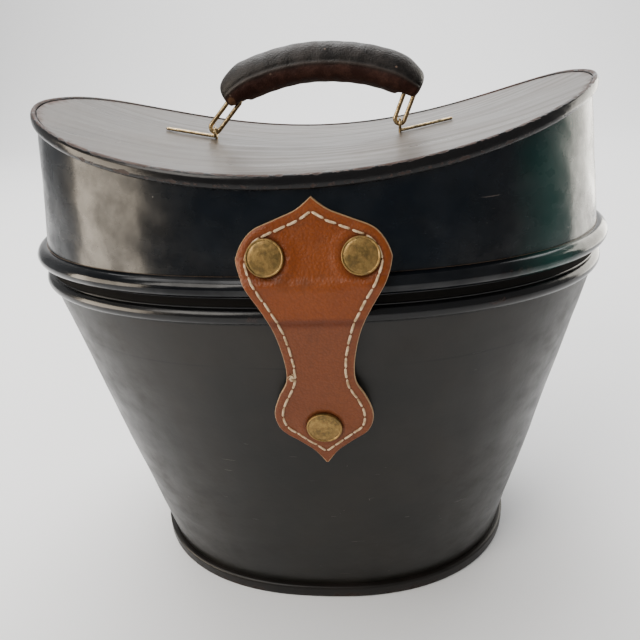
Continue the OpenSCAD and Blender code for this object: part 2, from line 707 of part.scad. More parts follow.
// Hairpin of brass wire: an eye round the link's lower bar, a leg through the lid,
// and a doubled tail that lies on the lid and ends in a round bend
module handle_staple(s) {
    x = link_foot_x[s];
    top = saddle_z(x);
    pitch = 2 * staple_r + 0.2;
    color([0.6, 0.47, 0.22]) {
        translate([x, 0, axis_z]) rotate([0, 90, 0]) rotate_extrude()
            translate([eye_r, 0]) circle(r = staple_r, $fn = 24);
        staple_leg(s, staple_r, top - tin_t - 2.4, axis_z - eye_r);
        translate([x, 0, top]) mirror([s == 0 ? 1 : 0, 0, 0])
            rotate([0, -tail_slope(s), 0]) translate([0, 0, staple_r + 3 * lie_gap]) {
                for (y = [-1, 1]) translate([0, y * pitch / 2, 0]) rotate([0, 90, 0])
                    cylinder(r = staple_r, h = tail_len - pitch, $fn = 24);
                translate([tail_len - pitch, 0, 0]) rotate([0, 0, -90])
                    rotate_extrude(angle = 180)
                        translate([pitch / 2, 0]) circle(r = staple_r, $fn = 24);
            }
        translate([x, 0, top - tin_t - 2.2]) cylinder(r = staple_r + 1, h = 0.8);
    }
}

module handle_staple_left() { handle_staple(0); }
module handle_staple_right() { handle_staple(1); }

module staple_plate(s) {
    w = 18;
    d = 14;
    color([0.35, 0.32, 0.28]) difference() {
        intersection() {
            translate([link_foot_x[s] - w / 2, -d / 2, lid_mid_z - 10]) cube([w, d, 30]);
            saddle_layer(tin_t + lie_gap, 0.8);
        }
        staple_holes(s);
    }
}

module staple_plate_left() { staple_plate(0); }
module staple_plate_right() { staple_plate(1); }

// Stretch of the grip's arch, from one angle to another, measured from its top
module arch_stretch(r, half) {
    translate([grip_x, 0, arch_z]) rotate([90, 0, 0]) rotate([0, 0, 90 - half])
        rotate_extrude(angle = 2 * half, $fn = 96) translate([arch_r, 0]) circle(r = r);
}

// Place on the arch's centre line, with Z along the arch's radius
module on_arch(t) {
    translate([grip_x, 0, arch_z]) rotate([0, t, 0]) translate([0, 0, arch_r]) children();
}

// Frame of a link: the origin is the middle of its lower bend, and Z runs up the link
function link_rise(s) = [link_top_x[s] - link_foot_x[s], link_h - link_w];
function link_side(s) = norm(link_rise(s));
module in_link(s) {
    translate([link_foot_x[s], 0, axis_z + link_w / 2])
        rotate([0, atan(link_rise(s)[0] / link_rise(s)[1]), 0]) children();
}

// Leather skin of the grip, rounded at its ends and slotted below for the links
module grip_cover() {
    slot_w = 2 * (ring_in + 2 * ring_wire) + 1;
    slot_l = link_w + 2 * link_r + 1.6;
    end_r = grip_r + 0.15;
    in_r = grip_r - grip_skin;
    color([0.17, 0.10, 0.08]) difference() {
        union() {
            arch_stretch(grip_r, cap_half);
            for (t = [-1, 1]) on_arch(t * cap_half) sphere(r = end_r);
        }
        arch_stretch(in_r, eye_half - 4);
        arch_stretch(spine_r + 0.5, eye_half + 1.3);
        for (s = [0, 1]) in_link(s) translate([-slot_l / 2, -slot_w / 2, 0])
            cube([slot_l, slot_w, link_side(s) + link_w / 2 + ring_drop]);
    }
}

module grip_core() {
    color([0.35, 0.25, 0.18]) difference() {
        arch_stretch(grip_r - grip_skin - lie_gap, eye_half - 5);
        arch_stretch(spine_r + lie_gap, eye_half);
    }
}

// Iron spine along the arch, with a ring under each end that holds a link
module grip_spine() {
    color([0.4, 0.38, 0.36]) {
        arch_stretch(spine_r, eye_half + 0.7);
        for (s = [0, 1]) translate([link_top_x[s], 0, axis_z + link_h]) rotate([0, 90, 0])
            rotate_extrude() translate([ring_in + ring_wire, 0]) circle(r = ring_wire, $fn = 24);
    }
}

// Closed loop of wire with two straight sides and round ends, leaning along X
module handle_link(s) {
    bend_r = link_w / 2;
    color([0.66, 0.5, 0.25]) in_link(s) {
        for (w = [-1, 1]) translate([w * bend_r, 0, 0])
            cylinder(r = link_r, h = link_side(s), $fn = 24);
        for (e = [0, 1]) translate([0, 0, e * link_side(s)]) rotate([90, 0, 0])
            rotate([0, 0, e * 180 + 180]) rotate_extrude(angle = 180)
                translate([bend_r, 0]) circle(r = link_r, $fn = 24);
    }
}

module handle_link_left() { handle_link(0); }
module handle_link_right() { handle_link(1); }

base_wall();
base_floor();
foot_ring();
foot_wire();
inner_collar();
base_seam();
hinge_leaf_base();
hinge_pin();
hinge_rivets_base();
snap_catch();
snap_catch_washer();
lid_wall();
lid_top();
lid_rim_band();
lid_seam();
hinge_leaf_lid();
hinge_rivets_lid();
tab_leather_upper();
tab_rivet_left();
tab_rivet_right();
tab_rivet_washers();
handle_staple_left();
handle_staple_right();
staple_plate_left();
staple_plate_right();
tab_leather_flap();
snap_cap();
snap_magnet();
grip_cover();
grip_core();
grip_spine();
handle_link_left();
handle_link_right();
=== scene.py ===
"""Looks of an oval tin hat box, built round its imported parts. Metres, +Z up, -Y the front."""
import math

import bmesh
import bpy
import numpy as np
from mathutils import Matrix, Vector


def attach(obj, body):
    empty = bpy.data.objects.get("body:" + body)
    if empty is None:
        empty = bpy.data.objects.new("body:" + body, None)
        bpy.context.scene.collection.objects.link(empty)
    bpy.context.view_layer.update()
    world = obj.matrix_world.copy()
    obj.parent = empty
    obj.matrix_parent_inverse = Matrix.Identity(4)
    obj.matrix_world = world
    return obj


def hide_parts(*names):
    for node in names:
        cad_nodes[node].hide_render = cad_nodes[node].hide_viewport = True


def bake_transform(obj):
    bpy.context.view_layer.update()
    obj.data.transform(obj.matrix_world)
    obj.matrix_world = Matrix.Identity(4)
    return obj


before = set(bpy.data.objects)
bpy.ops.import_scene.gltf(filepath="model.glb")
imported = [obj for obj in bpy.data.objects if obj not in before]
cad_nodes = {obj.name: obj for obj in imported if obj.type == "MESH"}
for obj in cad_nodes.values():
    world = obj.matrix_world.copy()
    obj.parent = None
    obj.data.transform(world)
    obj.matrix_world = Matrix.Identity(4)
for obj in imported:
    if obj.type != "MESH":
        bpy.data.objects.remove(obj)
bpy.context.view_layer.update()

# ---- Bucket wall ----
# One strip of tinplate bent to an oval, narrower at the foot, with a swaged bead below
# its upper edge. Black japan outside, a thin brown lacquer inside.
MM = 0.001
OVAL_POWER = 2.3
AROUND = 360
turn = np.arange(AROUND) * 2 * math.pi / AROUND
oval_x = np.sign(np.cos(turn)) * np.abs(np.cos(turn)) ** (2 / OVAL_POWER)
oval_y = np.sign(np.sin(turn)) * np.abs(np.sin(turn)) ** (2 / OVAL_POWER)


class Signal:
    """One socket of a finish. Arithmetic on it adds Math nodes."""

    def __init__(self, finish, socket):
        self.finish, self.socket = finish, socket

    def math(self, operation, first, second=0.0):
        return self.finish.node("ShaderNodeMath", {"operation": operation}, {0: first, 1: second})

    def __add__(self, other):
        return self.math("ADD", self, other)

    def __sub__(self, other):
        return self.math("SUBTRACT", self, other)

    def __rsub__(self, other):
        return self.math("SUBTRACT", other, self)

    def __mul__(self, other):
        return self.math("MULTIPLY", self, other)

    def __gt__(self, other):
        return self.math("GREATER_THAN", self, other)

class Finish:
    """A material. node() adds any node, and shine() sets the shader's own sockets."""

    def __init__(self, name, **constants):
        self.material = bpy.data.materials.new(name)
        self.material.use_nodes = True
        self.tree = self.material.node_tree
        self.shader = self.tree.nodes["Principled BSDF"]
        self.shine(**constants)

    def node(self, kind, settings, inputs, output=0):
        made = self.tree.nodes.new(kind)
        for key, value in settings.items():
            setattr(made, key, value)
        for key, value in inputs.items():
            self.feed(made.inputs[key], value)
        return Signal(self, made.outputs[output])

    def feed(self, socket, value):
        if isinstance(value, Signal):
            self.tree.links.new(value.socket, socket)
        else:
            socket.default_value = value

    def shine(self, **sockets):
        for name, value in sockets.items():
            if isinstance(value, tuple) and len(value) == 3:
                value = (*value, 1)
            self.feed(self.shader.inputs[name.replace("_", " ")], value)

    def colour_so_far(self):
        return Signal(self, self.shader.inputs["Base Color"].links[0].from_socket)

    def place(self):
        return self.node("ShaderNodeTexCoord", {}, {}, "Object")

    def stretched(self, scale):
        return self.node("ShaderNodeVectorMath", {"operation": "MULTIPLY"},
                         {0: self.place(), 1: scale})

    def noise(self, scale, detail=3.0, rough=0.5, where=None):
        return self.node("ShaderNodeTexNoise", {}, {
            "Vector": where or self.place(), "Scale": scale, "Detail": detail, "Roughness": rough})

    def cells(self, scale, where=None):
        return self.node("ShaderNodeTexVoronoi", {"feature": "F1"},
                         {"Vector": where or self.place(), "Scale": scale}, "Distance")

    def between(self, value, low, high, to_low=0.0, to_high=1.0):
        return self.node("ShaderNodeMapRange", {"interpolation_type": "SMOOTHSTEP"}, {
            "Value": value, "From Min": low, "From Max": high, "To Min": to_low, "To Max": to_high})

    def mix(self, share, first, second):
        first, second = [(*c, 1) if isinstance(c, tuple) else c for c in (first, second)]
        return self.node("ShaderNodeMix", {"data_type": "RGBA"}, {0: share, 6: first, 7: second}, 2)

    def mark(self, name):
        return self.node("ShaderNodeAttribute", {"attribute_name": name}, {}, "Fac")

    def axis(self, letter):
        return self.node("ShaderNodeSeparateXYZ", {}, {0: self.place()}, letter)

    def bump(self, height, distance, strength=1.0):
        return self.node("ShaderNodeBump", {}, {
            "Height": height, "Distance": distance, "Strength": strength})


def surface(name, points, faces, finishes, body, replaced=(), face_finish=None,
            sharp=35, marks=None, weld=1e-6):
    """A smooth piece on a body, with marks as named values on its points."""
    mesh = bpy.data.meshes.new(name)
    mesh.from_pydata([tuple(p) for p in np.asarray(points, float)], [], faces)
    for finish in finishes:
        mesh.materials.append(finish.material)
    if face_finish is not None:
        mesh.polygons.foreach_set("material_index", np.asarray(face_finish, np.int32))
    for key, values in (marks or {}).items():
        layer = mesh.attributes.new(key, "FLOAT", "POINT")
        layer.data.foreach_set("value", np.asarray(values, np.float32).ravel())
    shape = bmesh.new()
    shape.from_mesh(mesh)
    bmesh.ops.remove_doubles(shape, verts=shape.verts, dist=weld)
    bmesh.ops.recalc_face_normals(shape, faces=shape.faces)
    shape.to_mesh(mesh)
    shape.free()
    mesh.shade_smooth()
    mesh.set_sharp_from_angle(angle=math.radians(sharp))
    piece = bpy.data.objects.new(name, mesh)
    bpy.context.scene.collection.objects.link(piece)
    if body:
        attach(piece, body)
    if replaced:
        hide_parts(*replaced)
    return piece


def grid_faces(rows, columns, wrap_rows=True, wrap_columns=True):
    """Quads of a grid of points, wrapped round where it closes on itself."""
    return [(i * columns + j, i * columns + (j + 1) % columns,
             (i + 1) % rows * columns + (j + 1) % columns, (i + 1) % rows * columns + j)
            for i in range(rows - (not wrap_rows)) for j in range(columns - (not wrap_columns))]


def oval_ring(section):
    """Points of a ring from a section of (half length, half depth, height) in mm, each of
    which is a number or one value for every place around."""
    a, b, z = [np.array([np.broadcast_to(p[k], AROUND) for p in section]).T for k in range(3)]
    return np.stack([a * oval_x[:, None], b * oval_y[:, None], z], -1)


def dents(points, amount, size, seed):
    """Slow waves of hand-worked sheet, as a number for each point."""
    rng = np.random.default_rng(seed)
    waves = np.zeros(points.shape[:-1])
    for _ in range(9):
        direction = rng.normal(size=3)
        direction /= np.linalg.norm(direction)
        waves += np.sin(points @ direction * 2 * math.pi / (size * rng.uniform(0.6, 1.7))
                        + rng.uniform(0, 6.28))
    return waves * amount / 3


def push_out(points, amount):
    """Moves points of a ring away from the upright axis."""
    flat = points * np.array([1, 1, 0])
    return points + flat / np.linalg.norm(flat, axis=-1, keepdims=True) * amount[..., None]


def bead(radius, out, steps):
    """Section points of a swaged bead of that radius that stands out of its wall."""
    reach = math.acos(np.clip((radius - out) / radius, -1, 1))
    return [(out - radius + radius * math.cos(t), radius * math.sin(t))
            for t in np.linspace(-reach, reach, steps)]


def crest_wear(amount, steps):
    """Wear over a bead's section, most on its crest."""
    return [amount * math.sin(math.pi * k / (steps - 1)) ** 2 for k in range(steps)]


BUCKET_LOW = (116.1, 94.6)
BUCKET_TOP = (155.0, 118.0)
FOOT_H, SHOULDER_Z, BUCKET_H, TIN = 7.5, 187.0, 195.5, 1.0
BEAD_Z, BEAD_R, BEAD_OUT, BEAD_STEPS = 191.0, 4, 3, 18
WALL_ROWS, WALL_START_Z, EDGE_CHAMFER, BEAD_BACK = 48, 3.0, 0.25, 0.8


def bucket_half(z):
    """Half length and half depth of the bucket at a height."""
    share = np.clip((z - FOOT_H) / (SHOULDER_Z - FOOT_H), 0, 1)
    return tuple(low + (top - low) * share for low, top in zip(BUCKET_LOW, BUCKET_TOP))


POLISHED, BARE_TIN, SCRATCHED = (0.002, 0.0025, 0.0035), (0.33, 0.30, 0.26), (0.10, 0.08, 0.07)


def japan(name, base, warm, rough, gloss, streak, chips=1.0, drag=0.35,
          worn=((0.075, 0.026, 0.013), (0.035, 0.013, 0.008)), grain=0.5, wavy=0.8):
    """Black japan over tinplate: uneven gloss, brown where it is rubbed thin, small chips.
    A mark named polish makes it blacker and glossier."""
    made = Finish(name, IOR=1.45, Specular_IOR_Level=gloss)
    cloud = made.noise(22, 4, 0.6)
    fine = made.noise(260, 3, 0.6)
    rubbed = made.mark("wear") + (cloud - 0.5) * 0.9 + (fine - 0.5) * grain
    rubbed = made.between(rubbed, 0.42, 0.75)
    polish = made.mark("polish")
    body = made.mix(made.between(cloud, 0.3, 0.75), base, warm)
    body = made.mix(polish * 0.8, body, POLISHED)
    body = made.mix(rubbed, body, made.mix(made.between(fine, 0.35, 0.7), *worn))
    speck = made.between(made.cells(85) + made.noise(900, 2) * 0.04, 0.045, 0.02)
    speck = speck * (made.noise(9, 2) > 0.53) * chips
    body = made.mix(speck, body, BARE_TIN)
    scratch = made.between(made.noise(1.0, 2, 0.5, made.stretched((55, 55, 900))), 0.73, 0.77)
    scratch = scratch * (made.noise(14, 2) > 0.52)
    body = made.mix(scratch * 0.55, body, SCRATCHED)
    brushed = made.noise(1.0, 3, 0.6, made.stretched(streak))
    made.shine(
        Base_Color=body,
        Roughness=made.between(brushed * 0.6 + cloud * 0.4 + rubbed * 0.5 + speck * 0.4,
                               0.3, 1.1, rough, rough + 0.45) * (1 - polish * 0.5),
        Normal=made.bump(brushed * drag + fine * 0.2 + cloud * wavy - scratch * 0.6 - speck * 0.8
                         - rubbed * 0.4, 0.0005, 0.55))
    return made


wall_japan = japan("wall_japan", base=(0.0060, 0.0058, 0.0046), warm=(0.0125, 0.0105, 0.0080),
                   rough=0.3, gloss=0.3, streak=(60, 60, 90), drag=0.1)
# A thin near-black line round the bucket wall 164 mm up, a little wavy and broken in places.
DARK_LINE_Z, DARK_LINE_BLACK = 0.164, (0.001, 0.001, 0.001)
dark_line_at = wall_japan.axis("Z") + (wall_japan.noise(9, 2) - 0.5) * 0.004 - DARK_LINE_Z
dark_line = wall_japan.between(dark_line_at.math("ABSOLUTE", dark_line_at), 0.0007, 0.0002)
dark_line = dark_line * wall_japan.between(wall_japan.noise(14, 2), 0.35, 0.6)
wall_japan.shine(
    Base_Color=wall_japan.mix(dark_line * 0.85, wall_japan.colour_so_far(), DARK_LINE_BLACK))
LACQUER_DARK, LACQUER_LIGHT = (0.055, 0.030, 0.014), (0.105, 0.062, 0.030)
lacquer = Finish("inner_lacquer", Roughness=0.5, Specular_IOR_Level=0.4)
lacquer_cloud = lacquer.noise(16, 5, 0.65)
lacquer.shine(
    Base_Color=lacquer.mix(lacquer.between(lacquer_cloud, 0.3, 0.7),
                           LACQUER_DARK, LACQUER_LIGHT),
    Roughness=lacquer.between(lacquer_cloud, 0.2, 0.8, 0.35, 0.62),
    Normal=lacquer.bump(lacquer.noise(300, 4), 0.0003, 0.5))

mouth_a, mouth_b = BUCKET_TOP
bead_section = bead(BEAD_R, BEAD_OUT, BEAD_STEPS)
wall_heights = [WALL_START_Z, FOOT_H,
                *np.linspace(FOOT_H + 0.8, SHOULDER_Z - 0.5, WALL_ROWS - 2)]
outer = [(*bucket_half(z), z) for z in wall_heights]
outer += [(mouth_a + d, mouth_b + d, BEAD_Z + h) for d, h in bead_section]
outer += [(mouth_a, mouth_b, BUCKET_H - EDGE_CHAMFER),
          (mouth_a - EDGE_CHAMFER, mouth_b - EDGE_CHAMFER, BUCKET_H)]
inner = [(mouth_a - TIN, mouth_b - TIN, BUCKET_H)]
inner += [(mouth_a - TIN + d * BEAD_BACK, mouth_b - TIN + d * BEAD_BACK, BEAD_Z + h * BEAD_BACK)
          for d, h in reversed(bead_section)]
inner += [(a - TIN, b - TIN, z) for a, b, z in reversed(outer[:WALL_ROWS])]
wall_points = oval_ring(outer + inner)
height = wall_points[..., 2]
wave = (dents(wall_points, amount=0.22, size=70, seed=4)
        + dents(wall_points, amount=0.05, size=16, seed=5))
# The sheet is dented only between the stiff foot and the stiff bead.
DENT_LOW_Z, DENT_TOP_Z = 12, 182
free = np.clip((height - DENT_LOW_Z) / 20, 0, 1) * np.clip((DENT_TOP_Z - height) / 12, 0, 1)
wall_points = push_out(wall_points, wave * free)
crest = np.array([0.0] * WALL_ROWS + crest_wear(0.34, BEAD_STEPS) + [0.2, 0.2]
                 + [0.0] * len(inner))
low_wear = 0.32 * np.exp(-((height - 8) / 7) ** 2)
section_count = wall_points.shape[1]
inside = np.tile(np.arange(section_count) >= len(outer), AROUND)
wall_polish = np.tile([0.0] * WALL_ROWS + [1.0] * (section_count - WALL_ROWS), AROUND)
surface("bucket_wall", wall_points.reshape(-1, 3) * MM, grid_faces(AROUND, section_count),
        [wall_japan, lacquer], "base", ["base_wall"], inside,
        marks={"wear": crest[None, :] + low_wear, "polish": wall_polish})

# ---- Foot ring ----
# A strip turned under at the bottom round an iron wire and soldered to the bucket. It
# takes the knocks, so its japan is thin and brown in front.
FOOT_HALF = (119.5, 98.0)
FOOT_LOW_R, FOOT_TOP_R, FOOT_TOP_Z, FOOT_IN = 1.3, 1.5, 6.0, 6.3


def coat(finish, *nodes):
    """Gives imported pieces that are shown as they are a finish."""
    for node in nodes:
        materials = cad_nodes[node].data.materials
        materials.clear()
        materials.append(finish.material)


foot_section = [(FOOT_IN, 0.0)]
foot_section += [(FOOT_LOW_R - FOOT_LOW_R * math.sin(t), FOOT_LOW_R - FOOT_LOW_R * math.cos(t))
                 for t in np.linspace(0, math.pi / 2, 8)]
foot_section += [(0.05, 3.4), (0.0, 5.9)]
foot_section += [(FOOT_TOP_R - FOOT_TOP_R * math.cos(t), FOOT_TOP_Z + FOOT_TOP_R * math.sin(t))
                 for t in np.linspace(0.2, math.pi / 2, 7)]
foot_section += [(3.25, FOOT_H), (3.25, 6.6), (1.6, 6.5), (TIN, 5.8), (TIN, 1.6), (1.4, TIN),
                 (FOOT_IN, TIN)]
foot_points = oval_ring([(FOOT_HALF[0] - d, FOOT_HALF[1] - d, z) for d, z in foot_section])
FOOT_DENT = 0.12
foot_wave = dents(foot_points, amount=FOOT_DENT, size=60, seed=6)
foot_points = push_out(foot_points,
                       np.where(foot_points[..., 2] > 0.3, foot_wave - FOOT_DENT, 0))
front = np.clip(-foot_points[..., 1] / FOOT_HALF[1] + 0.15 - foot_points[..., 0] / 420, 0, 1)
foot_wear = (0.15 + 0.4 * front) * np.exp(-((foot_points[..., 2] - 1.5) / 3.2) ** 2)
foot_japan = japan("foot_japan", base=(0.006, 0.0052, 0.0046), warm=(0.012, 0.009, 0.0075),
                   rough=0.3, gloss=0.24, streak=(60, 60, 90), drag=0.1,
                   worn=((0.055, 0.032, 0.024), (0.018, 0.012, 0.010)), grain=1.2)
surface("foot_band", foot_points.reshape(-1, 3) * MM, grid_faces(AROUND, len(foot_section)),
        [foot_japan], "base", ["foot_ring"], marks={"wear": foot_wear})
# Painted shade: the inner collar is near-black and dull, standing in for the shadow in the gap
# between lid and bucket.
collar_shade_black = Finish("collar_shade_black", Base_Color=(0.004, 0.0035, 0.003), Roughness=0.9,
                   Specular_IOR_Level=0.08)
coat(lacquer, "base_floor")
coat(collar_shade_black, "inner_collar")
coat(wall_japan, "base_seam")
coat(foot_japan, "hinge_leaf_base")

# ---- Lid wall ----
# A second oval strip that leans in as it rises, cut on top to the saddle's curve, with a
# bolder bead above its lower edge. Its japan is blacker and glossier than the bucket's.
LID_EDGE_Z, LID_BEAD_Z, LID_MID_Z = 199.3, 204.7, 249.3
LID_HALF, LID_LEAN, SADDLE_R = (154.8, 117.8), (0.15, 0.13), 358.731
LID_BEAD_R, LID_BEAD_OUT, LID_BEAD_STEPS, LID_ROWS = 4.4, 5.2, 22, 26
TAB_X, BEHIND_TAB = 9.0, 38


def saddle(x):
    """Height of the lid's top at a place along its length."""
    return LID_MID_Z + SADDLE_R - np.sqrt(SADDLE_R ** 2 - np.asarray(x) ** 2)


def lid_half(z):
    """Half length and half depth of the lid at a height."""
    rise = np.maximum(0, z - LID_BEAD_Z)
    return tuple(half - lean * rise for half, lean in zip(LID_HALF, LID_LEAN))


def under_saddle(inset, down):
    """Height at each place around where the lid's wall is that far under the saddle."""
    z = np.full(AROUND, LID_MID_Z)
    for _ in range(4):
        z = saddle((lid_half(z)[0] - inset) * oval_x) - down
    return z


lid_top_z = under_saddle(inset=0, down=1.1)
lid_outer = [(*lid_half(LID_EDGE_Z), LID_EDGE_Z)]
for d, h in bead(LID_BEAD_R, LID_BEAD_OUT, LID_BEAD_STEPS):
    a, b = lid_half(LID_BEAD_Z + h)
    lid_outer.append((a + d, b + d, LID_BEAD_Z + h))
wall_start = LID_BEAD_Z + 4.6
for share in np.linspace(0, 1, LID_ROWS):
    z = wall_start + (lid_top_z - wall_start) * share
    lid_outer.append((*lid_half(z), z))
lid_inner = [(a - TIN, b - TIN, z) for a, b, z in reversed(lid_outer)]
lid_points = oval_ring(lid_outer + lid_inner)
lid_height = lid_points[..., 2]
LID_DENT_Z, RIM_STIFF, DENT_FADE = 212, 6, 8
lid_free = (np.clip((lid_height - LID_DENT_Z) / DENT_FADE, 0, 1)
            * np.clip((lid_top_z[:, None] - RIM_STIFF - lid_height) / DENT_FADE, 0, 1))
behind_tab = np.exp(-(np.abs(lid_points[..., 0] - TAB_X) / BEHIND_TAB) ** 4)
behind_tab = behind_tab * (lid_points[..., 1] < 0)
lid_wave = (dents(lid_points, amount=0.24, size=55, seed=9)
            + dents(lid_points, amount=0.09, size=17, seed=10))
lid_points = push_out(lid_points, lid_wave * lid_free * (1 - behind_tab))
lid_section = lid_points.shape[1]
bead_rows = 1 + LID_BEAD_STEPS
lid_wear = np.tile([0.1] + crest_wear(0.3, LID_BEAD_STEPS) + [0.0] * (lid_section - bead_rows),
                   AROUND)
lid_polish = np.tile([1.0] * bead_rows + [0.0] * (lid_section - bead_rows), AROUND)
lid_japan = japan("lid_japan", base=(0.0014, 0.0034, 0.0062), warm=(0.0034, 0.0036, 0.0042),
                  rough=0.2, gloss=0.13, streak=(70, 70, 110), chips=0.9, drag=0.3, wavy=1.6)
TEAL_RISE, TEAL_FALL, TEAL = (0.088, 0.116), (0.138, 0.117), (0.004, 0.050, 0.040)
along = lid_japan.axis("X") + (lid_japan.noise(30, 3) - 0.5) * 0.012
teal = lid_japan.between(along, *TEAL_RISE) * lid_japan.between(along, *TEAL_FALL)
teal = teal * lid_japan.between(lid_japan.axis("Y"), 0.0, -0.02)
lid_japan.shine(Base_Color=lid_japan.mix(teal * 0.6, lid_japan.colour_so_far(), TEAL))
lid_japan.shine(Coat_Roughness=0.14, Coat_IOR=1.5, Coat_Weight=lid_japan.between(
    lid_japan.noise(55, 4, 0.6), 0.34, 0.70, 0.08, 0.38))
lid_inside = np.tile(np.arange(lid_section) >= len(lid_outer), AROUND)
surface("lid_side", lid_points.reshape(-1, 3) * MM, grid_faces(AROUND, lid_section),
        [lid_japan, lacquer], "lid", ["lid_wall"], lid_inside,
        marks={"wear": lid_wear, "polish": lid_polish})

# ---- Lid top ----
# A sheet bent to a saddle, brushed with japan along its length and worn brown at the
# rim. Its grey-brown colour, much lighter than the walls' japan, is a painted sheen of the
# light that falls on the top.
TOP_INSET, RIM_SHARE = 0.3, 0.93
top_z = under_saddle(TOP_INSET, 0)
top_a, top_b = lid_half(top_z)
top_rings = np.concatenate([np.linspace(0.0, RIM_SHARE, 46), [0.955, 0.975, 0.99, 1.0]])
top_points = []
for down, rings in ((0.0, top_rings), (TIN, top_rings[::-1])):
    for share in rings:
        x, y = (top_a - TOP_INSET) * oval_x * share, (top_b - TOP_INSET) * oval_y * share
        top_points.append(np.stack([x, y, saddle(x) - down], -1))
top_points = np.array(top_points).transpose(1, 0, 2)
edge_share = np.concatenate([top_rings, top_rings[::-1]])
calm = np.clip((1 - edge_share) / 0.12, 0, 1)[None, :]
top_wave = (dents(top_points, amount=0.26, size=75, seed=12)
            + dents(top_points, amount=0.05, size=18, seed=13))
top_points[..., 2] += top_wave * calm
# Painted sheen: light grey-brown base colours for the light the top reflects.
top_japan_sheen = japan("top_japan_sheen", base=(0.040, 0.030, 0.021), warm=(0.072, 0.055, 0.040),
                  rough=0.26, gloss=0.49, streak=(9, 150, 9), chips=1.6, drag=0.7)
top_wear = np.clip((edge_share - RIM_SHARE) / 0.07, 0, 1) * 0.6
top_inside = np.tile(np.arange(len(edge_share) - 1) >= len(top_rings), AROUND)
surface("lid_saddle", top_points.reshape(-1, 3) * MM,
        grid_faces(AROUND, len(edge_share), wrap_columns=False),
        [top_japan_sheen, lacquer], "lid", ["lid_top"], top_inside,
        marks={"wear": np.tile(top_wear, AROUND)}, weld=2e-5)

# ---- Rim band ----
# The top is held to the wall by a band folded over both and rolled to a half round. It is
# chipped and rubbed to brown along its lip and its lower edge.
BAND_LINE = [
    (-0.1, -5.4), (-1.3, -5.4), (-2.2, -4.7), (-2.7, -3.5), (-2.8, -1.6), (-2.6, -0.5),
    (-2.1, 0.4), (-1.4, 0.8), (-0.8, 0.7), (-0.4, 0.3), (-0.5, -0.2), (-0.6, -1.0), (-0.1, -1.6)]


def rounded(points, between, closed=True):
    """A smooth line through the points, with that many steps between each two."""
    points = np.asarray(points, float)
    count, line = len(points), []
    for k in range(count if closed else count - 1):
        near = [points[i % count] if closed else points[np.clip(i, 0, count - 1)]
                for i in range(k - 1, k + 3)]
        for t in np.arange(between) / between:
            line.append(0.5 * (2 * near[1] + (near[2] - near[0]) * t
                        + (2 * near[0] - 5 * near[1] + 4 * near[2] - near[3]) * t ** 2
                        + (3 * near[1] - near[0] - 3 * near[2] + near[3]) * t ** 3))
    return np.array(line if closed else line + [points[-1]])


band_shape = rounded(BAND_LINE, 3)
band_section = []
for inset, rise in band_shape:
    z = under_saddle(inset, -rise)
    a, b = lid_half(z)
    band_section.append((a - inset, b - inset, z))
band_points = oval_ring(band_section)
band_points = push_out(band_points, dents(band_points, amount=0.1, size=45, seed=15) - 0.06)
LIP_RISE, RIDGE_DROP = 0.6, 3.9
roll = 0.7 * np.exp(-((band_shape[:, 1] - LIP_RISE) / 0.8) ** 2)
ridge = 0.5 * np.exp(-((band_shape[:, 1] + RIDGE_DROP) / 1.3) ** 2)
rim_japan = japan("rim_japan", base=(0.0035, 0.0035, 0.004), warm=(0.007, 0.0055, 0.005),
                  rough=0.14, gloss=0.26, streak=(60, 60, 260), chips=1.6,
                  worn=((0.085, 0.038, 0.024), (0.022, 0.011, 0.008)), grain=1.7)
surface("rim_roll", band_points.reshape(-1, 3) * MM, grid_faces(AROUND, len(band_shape)),
        [rim_japan], "lid", ["lid_rim_band"],
        marks={"wear": np.tile(roll + ridge, AROUND)})
coat(lid_japan, "lid_seam")
coat(foot_japan, "hinge_leaf_lid")

# ---- Small metal ----
# The hinge pin, wire, catch, magnet and plates are dull iron. Rivets and caps are dark
# brass, and the handle's links and eyes are brass wire with green crust.
TINNED, RUST = (0.20, 0.18, 0.16), (0.07, 0.035, 0.02)
CAP_DARK = (0.200, 0.115, 0.032), (0.100, 0.062, 0.018)
CAP_LIGHT = (0.280, 0.180, 0.060), (0.150, 0.098, 0.032)
WIRE_TONES, VERDIGRIS = ((0.46, 0.35, 0.19), (0.28, 0.20, 0.105)), (0.035, 0.045, 0.026)
iron = Finish("dull_iron", Metallic=0.9, Roughness=0.5)
rust = iron.between(iron.noise(160, 4, 0.7), 0.45, 0.7)
iron.shine(Base_Color=iron.mix(rust, TINNED, RUST),
           Metallic=1 - rust * 0.6, Roughness=iron.between(rust, 0, 1, 0.4, 0.8),
           Normal=iron.bump(iron.noise(900, 3), 0.0002, 0.4))
cap_brass = Finish("cap_brass", Metallic=0.85, Roughness=0.45)
blot = cap_brass.noise(620, 5, 0.7)
dark_blot = cap_brass.between(cap_brass.noise(240, 4, 0.65), 0.42, 0.62)
cap_brass.shine(
    Base_Color=cap_brass.mix(
        cap_brass.between(blot, 0.4, 0.62),
        cap_brass.mix(dark_blot, *CAP_DARK), cap_brass.mix(dark_blot, *CAP_LIGHT)),
    Metallic=cap_brass.between(blot, 0.3, 0.7, 0.6, 0.9),
    Roughness=cap_brass.between(blot, 0.3, 0.7, 0.5, 0.34),
    Normal=cap_brass.bump(cap_brass.noise(700, 4, 0.6), 0.00022, 0.6))
wire_brass = Finish("wire_brass", Metallic=0.9, Roughness=0.35)
crust = wire_brass.noise(190, 5, 0.7) + wire_brass.noise(40, 2) * 0.35
crust = wire_brass.between(crust, 0.74, 0.92)
